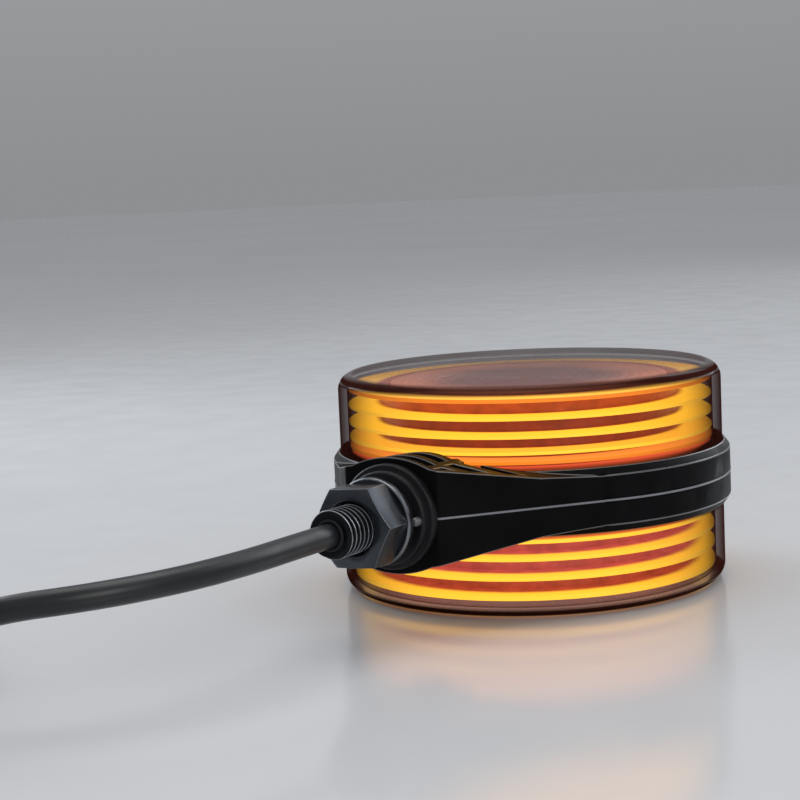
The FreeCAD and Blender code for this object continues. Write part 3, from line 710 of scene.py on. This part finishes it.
def arc_points(centre_r, centre_h, radius, start, end, count):
    """Points of an arc in an outline; angles in degrees, 0 outwards and 90 up."""
    points = []
    for index in range(count + 1):
        angle = math.radians(start + (end - start) * index / count)
        points.append((centre_r + radius * math.cos(angle), centre_h + radius * math.sin(angle)))
    return points


# %% [markdown]
# Each lens is a cup with a 4.3 mm rounded outer corner. Its outline runs up the outside, over
# the corner to the axis, and back along the inside to the foot. Both lenses come from one
# outline; the lower one is drawn with its heights turned over, not mirrored afterwards.

# %% Lenses
def half_heights(outline, side):
    """Heights from the parting plane, made places on Z: side is 1 above it and -1 below."""
    return [(r, MID / MM + side * h) for r, h in outline]


def lens_outline():
    top = FACE_Z / MM - MID / MM
    outer = LENS_R / MM
    corner, wall, face, inner_corner = 4.3, 2.4, 2.2, 1.6
    foot, chamfer = 4.0, 0.25
    points = [(outer - chamfer, foot), (outer, foot + chamfer)]
    points += arc_points(outer - corner, top - corner, corner, 0, 90, 10)
    points += [(0, top), (0, top - face)]
    points += arc_points(outer - wall - inner_corner, top - face - inner_corner, inner_corner, 90, 0, 5)
    points += [(outer - wall, foot)]
    return points


for side, name in ((1, "upper"), (-1, "lower")):
    lens = turned_piece("smoked_lens_" + name, half_heights(lens_outline(), side), steps=240)
    soften(lens, 0.05, 1)
    settle(lens, SMOKED_LENS, "lamp", "smoked_lens", "lens_" + name)

# %% [markdown]
# The guides are turned as well. The upper one has five rings and the lower one four, at
# heights of their own, so each has its own list of ring edges above the parting plane.

# %% Light guides
UPPER_RINGS = [(25.0, 26.0), (20.5, 21.3), (15.9, 16.7), (11.8, 12.6), (9.4, 10.2)]
LOWER_RINGS = [(24.0, 25.2), (19.1, 20.2), (14.2, 15.2), (9.7, 10.7)]
SLEEVE_R, SLEEVE_BORE = 40.1, 38.3
GUIDE_FOOT, FLANGE_TOP, GUIDE_TOP = 6.5, 7.9, 26.3
FLANGE_INSET = 0.4


def guide_outline(rings):
    outer = GUIDE_R / MM
    points = [(SLEEVE_BORE, GUIDE_FOOT), (outer - FLANGE_INSET, GUIDE_FOOT)]
    points += [(outer - FLANGE_INSET, FLANGE_TOP), (SLEEVE_R, FLANGE_TOP)]
    for low, high in reversed(rings):
        points += [(SLEEVE_R, low), (outer, low), (outer, high), (SLEEVE_R, high)]
    points += [(SLEEVE_R, GUIDE_TOP), (SLEEVE_BORE, GUIDE_TOP)]
    return points


GUIDES = [(1, "upper", UPPER_RINGS, UPPER_GUIDE), (-1, "lower", LOWER_RINGS, LOWER_GUIDE)]
for side, name, rings, glow in GUIDES:
    guide = turned_piece("ringed_guide_" + name, half_heights(guide_outline(rings), side), steps=240)
    soften(guide, 0.12, 1)
    settle(guide, glow, "lamp", "guide_amber", "light_guide_" + name)

# %% [markdown]
# The drum closes the guide. Its face has turned grooves, and a groove's floor is flat with
# sloping sides, as a moulding tool leaves it. Grooves in the mesh catch the light at a low
# angle, which bump alone would not do.

# %% Diffuser drums
GROOVE_COUNT = 14
DRUM_FOOT, DRUM_TOP, DRUM_CEILING = 3.8, 26.3, 24.9
DRUM_WALL = 1.4
GROOVE_FLOOR = 25.9
GROOVE_HALF, GROOVE_FLOOR_HALF = 0.75, 0.45


def drum_outline():
    outer = DRUM_R / MM
    pitch = outer / (GROOVE_COUNT + 1)
    points = [(outer - DRUM_WALL, DRUM_FOOT), (outer, DRUM_FOOT), (outer, DRUM_TOP)]
    for index in range(GROOVE_COUNT, 0, -1):
        middle = index * pitch
        points += [(middle + GROOVE_HALF, DRUM_TOP), (middle + GROOVE_FLOOR_HALF, GROOVE_FLOOR)]
        points += [(middle - GROOVE_FLOOR_HALF, GROOVE_FLOOR), (middle - GROOVE_HALF, DRUM_TOP)]
    points += [(0, DRUM_TOP), (0, DRUM_CEILING), (outer - DRUM_WALL, DRUM_CEILING)]
    return points


for side, name in ((1, "upper"), (-1, "lower")):
    drum = turned_piece("grooved_drum_" + name, half_heights(drum_outline(), side), steps=144)
    soften(drum, 0.06, 1)
    settle(drum, DRUM_RED, "lamp", "drum_amber", "diffuser_drum_" + name)

# %% [markdown]
# The housing halves keep their measured shape, but no moulded edge is a knife edge. A copy of
# each half has its loose triangles merged and its flat faces joined, and then its outer edges
# are rounded by a small bevel. Blender narrows all bevels of a mesh to the room at its
# tightest spot, so the halves turn that limit off and weight only the edges that have room.
# The new narrow faces get a smoother finish and a lighter colour: a painted highlight along the edges.

# %% Housing and other softened copies
# heights in mm from the parting plane
OUTER_FROM = 6.1                      # edges that reach below this stay sharp
FLAT_LEVELS = (7.0, 7.6, 8.0, 8.6)    # edges that lie at one of these stay sharp
LEVEL_REACH = 0.1
STEEPEST = 0.5                        # edges that rise by more than this share stay sharp


def is_outer_edge(ends):
    """True for a rim near the top of a housing half, not a slot's floor, a roof or an upright."""
    heights = [abs(end.z - MID) / MM for end in ends]
    on_flat = any(all(abs(h - level) < LEVEL_REACH for h in heights) for level in FLAT_LEVELS)
    upright = abs(ends[0].z - ends[1].z) > STEEPEST * (ends[0] - ends[1]).length
    return min(heights) > OUTER_FROM and not on_flat and not upright


def weight_outer_edges(piece, sharp):
    """Select the sharp edges, leave out those inside and below, and give the rest a weight."""
    bpy.ops.object.mode_set(mode="EDIT")
    bpy.ops.mesh.select_mode(type="EDGE")
    bpy.ops.mesh.select_all(action="DESELECT")
    bpy.ops.mesh.edges_select_sharp(sharpness=math.radians(sharp))
    bpy.ops.object.mode_set(mode="OBJECT")
    places = [vertex.co for vertex in piece.data.vertices]
    chosen = [e.select and is_outer_edge([places[v] for v in e.vertices]) for e in piece.data.edges]
    bpy.ops.object.mode_set(mode="EDIT")
    bpy.ops.mesh.select_all(action="DESELECT")
    bpy.ops.object.mode_set(mode="OBJECT")
    for edge, keep in zip(piece.data.edges, chosen):
        edge.select = keep
    bpy.ops.object.mode_set(mode="EDIT")
    bpy.ops.transform.edge_bevelweight(value=1.0)
    bpy.ops.mesh.select_mode(type="VERT")
    bpy.ops.object.mode_set(mode="OBJECT")
    print("%-20s %6d edges to round" % (piece.name, sum(chosen)))


def softened_copy(node, name, width, segments=2, sharp=30, edge=None, weighted=False):
    piece = bpy.data.objects.new(name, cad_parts[node].data.copy())
    piece.data.name = name
    bpy.context.scene.collection.objects.link(piece)
    deselect_all()
    piece.select_set(True)
    bpy.context.view_layer.objects.active = piece
    bpy.ops.object.mode_set(mode="EDIT")
    bpy.ops.mesh.select_all(action="SELECT")
    bpy.ops.mesh.remove_doubles(threshold=SAME_POINT * MM)
    bpy.ops.mesh.dissolve_limited(angle_limit=math.radians(0.2))
    bpy.ops.mesh.normals_make_consistent(inside=False)
    bpy.ops.object.mode_set(mode="OBJECT")
    if weighted:
        weight_outer_edges(piece, sharp)
    soften(piece, width, segments, sharp, edge, weighted)
    return piece


SOFTENED = [
    # node, name, edge radius in mm, finish, edge finish, body, slot
    # the edge finishes paint a lighter colour on the rounded edges, as a highlight
    ("housing_upper", "housing_shell_upper", 0.24, "black_housing", "polished_edge", "lamp", "housing_black"),
    ("housing_lower", "housing_shell_lower", 0.24, "black_housing", "polished_edge", "lamp", "housing_black"),
    ("seat_gasket", "stepped_seat", 0.25, "black_rubber", "polished_edge", "lamp", "gasket_black"),
    ("flat_washer", "plated_washer", 0.22, "plated_steel", "bright_edge", "washer", "stud_black"),
    ("mounting_nut", "hexagon_nut", 0.20, "nut_plating", "bright_edge", "nut", "nut_black"),
    ("plug_body", "plug_shell", 0.35, "plug_plastic", None, "lamp", "plug_black"),
    ("plug_latch", "plug_tongue", 0.20, "plug_plastic", None, "lamp", "plug_black"),
    ("plug_boot", "ribbed_boot", 0.25, "black_rubber", None, "lamp", "gasket_black"),
    ("plug_seal", "nose_seal", 0.25, "orange_silicone", None, "lamp", "seal_orange"),
    ("plug_contacts", "plug_blades", 0.10, "tinned_contact", None, "lamp", "contact_tin"),
]
OUTER_EDGED = ("housing_upper", "housing_lower")
for node, name, width, finish, edge, body, slot in SOFTENED:
    copy = softened_copy(node, name, width, edge=FINISHES.get(edge), weighted=node in OUTER_EDGED)
    piece = settle(copy, FINISHES[finish], body, slot, node)

# %% [markdown]
# The stud carries a real M12 x 1.75 thread. Its sizes come first, with two small helpers:
# one applies a modifier, and the other combines two pieces into one.

# %% Thread sizes and two helpers
PITCH = 1.75
CREST_R = 5.95
ROOT_R = CREST_R - 0.6134 * PITCH
THREAD_START = 78.0
STUD_END = -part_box("stud")[0].y / MM
STUD_BORE = 4.0
SHANK_R = 5.43
TURN_STEPS = 48
# depth below the crest over which the painted crest highlight fades in
CREST_HIGHLIGHT_DEPTH = 0.16
BLANK_R = 7.0
END_CHAMFER, END_R = 1.45, 5.55
SHANK_START = 64.0
HEAD_MIDDLE, HEAD_ACROSS, HEAD_THICK = 65.5, 15.9, 3


def make_active(piece):
    deselect_all()
    piece.select_set(True)
    bpy.context.view_layer.objects.active = piece


def apply_modifier(piece, kind, **settings):
    make_active(piece)
    modifier = piece.modifiers.new("step", kind)
    for key, value in settings.items():
        setattr(modifier, key, value)
    bpy.ops.object.modifier_apply(modifier=modifier.name)


def combine(piece, other, operation):
    """Boolean with another piece, which is used up."""
    apply_modifier(piece, "BOOLEAN", object=other, operation=operation, solver="EXACT")
    bpy.data.objects.remove(other, do_unlink=True)


print("thread pitch %.2f mm, crest radius %.2f mm" % (PITCH, CREST_R))

# %% [markdown]
# A thread is a V-shaped outline, one pitch long, that climbs as it turns, and the Screw
# modifier does exactly that. The raw helix ends in a slanted edge, so both ends are cut flat.

# %% A helper that makes the threaded rod
def thread_rod():
    deselect_all()
    bpy.ops.mesh.primitive_plane_add(size=MM)
    rod = bpy.context.object
    rod.name = rod.data.name = "threaded_stud"
    bpy.ops.object.mode_set(mode="EDIT")
    bpy.ops.mesh.select_all(action="SELECT")
    bpy.ops.mesh.merge(type="CENTER")
    turns = math.ceil((STUD_END - THREAD_START) / PITCH) + 3
    bpy.ops.transform.translate(value=(ROOT_R * MM, 0, (THREAD_START - 1.5 * PITCH) * MM))
    flank = (PITCH - PITCH / 8 - PITCH / 4) / 2
    for out, along in ((0, PITCH / 4), (CREST_R - ROOT_R, flank), (0, PITCH / 8), (ROOT_R - CREST_R, flank)):
        bpy.ops.mesh.extrude_vertices_move(TRANSFORM_OT_translate={"value": (out * MM, 0, along * MM)})
    bpy.ops.object.mode_set(mode="OBJECT")
    apply_modifier(rod, "SCREW", axis="Z", angle=2 * math.pi, screw_offset=PITCH * MM, iterations=turns,
                   steps=TURN_STEPS, render_steps=TURN_STEPS)
    bpy.ops.object.mode_set(mode="EDIT")
    bpy.ops.mesh.select_all(action="SELECT")
    bpy.ops.mesh.remove_doubles(threshold=0.003 * MM)
    for height, above in ((THREAD_START, True), (STUD_END + 0.2, False)):
        bpy.ops.mesh.select_all(action="SELECT")
        bpy.ops.mesh.bisect(plane_co=(0, 0, height * MM), plane_no=(0, 0, 1), use_fill=True,
                            clear_inner=above, clear_outer=not above)
    bpy.ops.mesh.select_all(action="SELECT")
    bpy.ops.mesh.normals_make_consistent(inside=False)
    bpy.ops.object.mode_set(mode="OBJECT")
    return rod


print("rod helper ready")

# %% [markdown]
# A turned blank with the bore and the end chamfer is intersected with the rod, as a bar is
# bored and chamfered before its thread is cut. A plain shank and a square head join it inside
# the neck. The plating is dark, and a lighter colour is painted on the crests as a highlight.

# %% Threaded stud
def stand_along_stud(piece):
    make_active(piece)
    piece.rotation_euler = (math.pi / 2, 0, 0)
    piece.location = (0, 0, MID)
    bpy.ops.object.transform_apply(location=True, rotation=True, scale=True)


def threaded_stud():
    rod = thread_rod()
    blank = turned_piece("blank", [(STUD_BORE, THREAD_START - 1), (BLANK_R, THREAD_START - 1),
                                   (BLANK_R, STUD_END - END_CHAMFER), (END_R, STUD_END),
                                   (STUD_BORE, STUD_END)], steps=96)
    combine(rod, blank, "INTERSECT")
    shank = turned_piece("shank", [(STUD_BORE, SHANK_START), (SHANK_R, SHANK_START),
                                   (SHANK_R, THREAD_START), (STUD_BORE, THREAD_START)], steps=96)
    deselect_all()
    bpy.ops.mesh.primitive_cube_add(size=1, location=(0, 0, HEAD_MIDDLE * MM),
                                    scale=(HEAD_ACROSS * MM, HEAD_ACROSS * MM, HEAD_THICK * MM))
    head = bpy.context.object
    hole = turned_piece("hole", [(0, 60), (SHANK_R, 60), (SHANK_R, 70), (0, 70)], closed=False, steps=96)
    combine(head, hole, "DIFFERENCE")
    deselect_all()
    for piece in (shank, head, rod):
        piece.select_set(True)
    bpy.context.view_layer.objects.active = rod
    bpy.ops.object.join()
    stand_along_stud(rod)
    soften(rod, 0.07, 1, 25)
    return rod


def thread_finish():
    """Dark plating, with a lighter colour painted on the crests as a highlight."""
    material, tree, shader = new_material("thread_crest_highlight")
    place = place_node(tree)
    across, _, up = split(tree, place)
    radius = distance(tree, across, math_node(tree, "SUBTRACT", up, MID))
    # painted highlight: the crests get a light colour, broken up by a noise
    crest_highlight_breakup = spread(tree, noise(tree, place, 300.0), 0.6, 1.0)
    crest = math_node(tree, "MULTIPLY", step_up(tree, radius, CREST_R - CREST_HIGHLIGHT_DEPTH, CREST_R - 0.02), crest_highlight_breakup)
    plating = blend_colours(tree, crest, (0.012, 0.013, 0.015), (0.42, 0.43, 0.46))
    tree.links.new(plating, shader.inputs["Base Color"])
    tree.links.new(spread(tree, noise(tree, place, 200.0), 0.24, 0.36), shader.inputs["Roughness"])
    shader.inputs["Metallic"].default_value = 0.9
    add_bump(tree, shader, noise(tree, place, 1500.0, 4.0), 0.006)
    return material


settle(threaded_stud(), thread_finish(), "lamp", "stud_black", "stud")

# %% [markdown]
# A rubber grommet closes the stud round the cable. It is turned too: a sleeve in the bore and
# a soft lip that stands a little out of the end, with a small gap to the cable's sheath. The
# locating pin is a softened copy, like the housing.

# %% Grommet and locating pin
GROMMET_OUTLINE = [(3.02, 85.6), (3.98, 85.6), (3.98, 98.2), (3.75, 98.6), (3.35, 98.75), (3.04, 98.6)]
grommet = turned_piece("cable_grommet_lip", GROMMET_OUTLINE, steps=96, about_stud=True)
soften(grommet, 0.1, 2)
settle(grommet, FINISHES["black_rubber"], "lamp", "seal_rubber", "cable_grommet")
# the pin wears the lighter edge finish all over, a painted highlight
settle(softened_copy("locating_pin", "round_pin", 0.12), FINISHES["polished_edge"], "lamp", "housing_black",
       "locating_pin")

# %% [markdown]
# The inner parts are closed in, but the model is complete, so they get finishes too. A
# circuit board is green lacquer over copper tracks, which show as slightly lighter lines,
# and the emitters on it glow.

# %% Finishes of the boards and emitters
def track_lines(tree, value, pitch, width):
    """1 on lines that repeat along one coordinate, else 0; pitch and width in millimetres."""
    cycle = math_node(tree, "PINGPONG", value, pitch / 2 * MM)
    return math_node(tree, "LESS_THAN", cycle, width / 2 * MM)


def board_finish():
    material, tree, shader = new_material("green_circuit_board")
    place = place_node(tree)
    x, y, z = split(tree, place)
    across = math_node(tree, "MULTIPLY", track_lines(tree, x, 2.4, 0.5), track_lines(tree, y, 19.0, 13.0))
    along = math_node(tree, "MULTIPLY", track_lines(tree, math_node(tree, "ADD", y, z), 3.1, 0.6),
                      track_lines(tree, x, 23.0, 15.0))
    tracks = math_node(tree, "MAXIMUM", across, along)
    tree.links.new(blend_colours(tree, tracks, (0.012, 0.085, 0.035), (0.035, 0.18, 0.07)),
                   shader.inputs["Base Color"])
    tree.links.new(spread(tree, noise(tree, place, 80.0), 0.25, 0.38), shader.inputs["Roughness"])
    add_bump(tree, shader, tracks, 0.03)
    return material


def emitter_finish():
    material, tree, shader = new_material("phosphor_emitter")
    place = place_node(tree)
    speckle = spread(tree, noise(tree, place, 1500.0), 0.0, 1.0)
    phosphor = blend_colours(tree, speckle, (0.85, 0.50, 0.06), (0.95, 0.68, 0.14))
    tree.links.new(phosphor, shader.inputs["Base Color"])
    tree.links.new(blend_colours(tree, speckle, (1.0, 0.42, 0.03), (1.0, 0.55, 0.07)),
                   shader.inputs["Emission Color"])
    shader.inputs["Emission Strength"].default_value = 1.6
    shader.inputs["Roughness"].default_value = 0.3
    return material


FINISHES["green_circuit_board"] = board_finish()
FINISHES["phosphor_emitter"] = emitter_finish()
print("board and emitter finishes ready")

# %% [markdown]
# The heat spreader is brushed in circles about the lens axis. The strap round the coil is
# woven: two crossing waves make its threads, and a fine fuzz lies over them.

# %% Finishes of the spreader, the strap and the driver's parts
def brushed_plate_finish():
    material, tree, shader = new_material("brushed_spreader")
    place = place_node(tree)
    rings = waves(tree, axis_distance(tree, place), 0.5)
    tone = spread(tree, noise(tree, place, 50.0), 0.0, 1.0)
    metal = blend_colours(tree, tone, (0.62, 0.63, 0.65), (0.74, 0.75, 0.77))
    tree.links.new(metal, shader.inputs["Base Color"])
    tree.links.new(spread(tree, noise(tree, place, 300.0), 0.25, 0.40), shader.inputs["Roughness"])
    shader.inputs["Metallic"].default_value = 1.0
    add_bump(tree, shader, rings, 0.01)
    return material


def strap_finish():
    material, tree, shader = new_material("woven_strap")
    place = place_node(tree)
    x, y, z = split(tree, place)
    warp = waves(tree, math_node(tree, "ADD", x, z), 0.9)
    weft = waves(tree, y, 0.7)
    weave = math_node(tree, "MULTIPLY", warp, weft)
    fuzz = spread(tree, noise(tree, place, 2500.0), 0.0, 1.0)
    threads = blend_colours(tree, fuzz, (0.014, 0.014, 0.016), (0.045, 0.045, 0.050))
    tree.links.new(threads, shader.inputs["Base Color"])
    tree.links.new(spread(tree, noise(tree, place, 200.0), 0.7, 0.9), shader.inputs["Roughness"])
    shader.inputs["Sheen Weight"].default_value = 0.3
    add_bump(tree, shader, math_node(tree, "ADD", weave, fuzz), 0.08)
    return material


FINISHES["brushed_spreader"] = brushed_plate_finish()
FINISHES["woven_strap"] = strap_finish()
FINISHES["moulded_component"] = grained("moulded_component", (0.020, 0.020, 0.022), (0.055, 0.055, 0.060),
                                        (0.35, 0.55), 900, 0.02)
print(len(FINISHES), "finishes in all")

# %% [markdown]
# The remaining nodes keep the mesh that they were loaded with, and each only gets a finish.

# %% Dress the nodes that keep their mesh
KEPT_NODES = {
    "parting_seal": "grey_seal",
    "lens_seal_upper": "black_rubber", "lens_seal_lower": "black_rubber",
    "led_board_upper": "green_circuit_board", "led_board_lower": "green_circuit_board",
    "leds_upper": "phosphor_emitter", "leds_lower": "phosphor_emitter",
    "thermal_pad_upper": "thermal_silicone", "thermal_pad_lower": "thermal_silicone",
    "heat_spreader": "brushed_spreader", "board_screws": "zinc_screw",
    "cable_sheath_inner": "cable_sheath", "driver_board": "green_circuit_board",
    "driver_components": "moulded_component", "supply_cores": "core_insulation",
    "board_leads": "core_insulation", "coil_tie": "woven_strap",
}
for node, finish in KEPT_NODES.items():
    dress(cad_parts[node], FINISHES[finish])
print(len(KEPT_NODES), "nodes keep their own mesh")

# %% [markdown]

# %% [markdown]
# The last line updates the scene and ends the build.


bpy.context.view_layer.update()
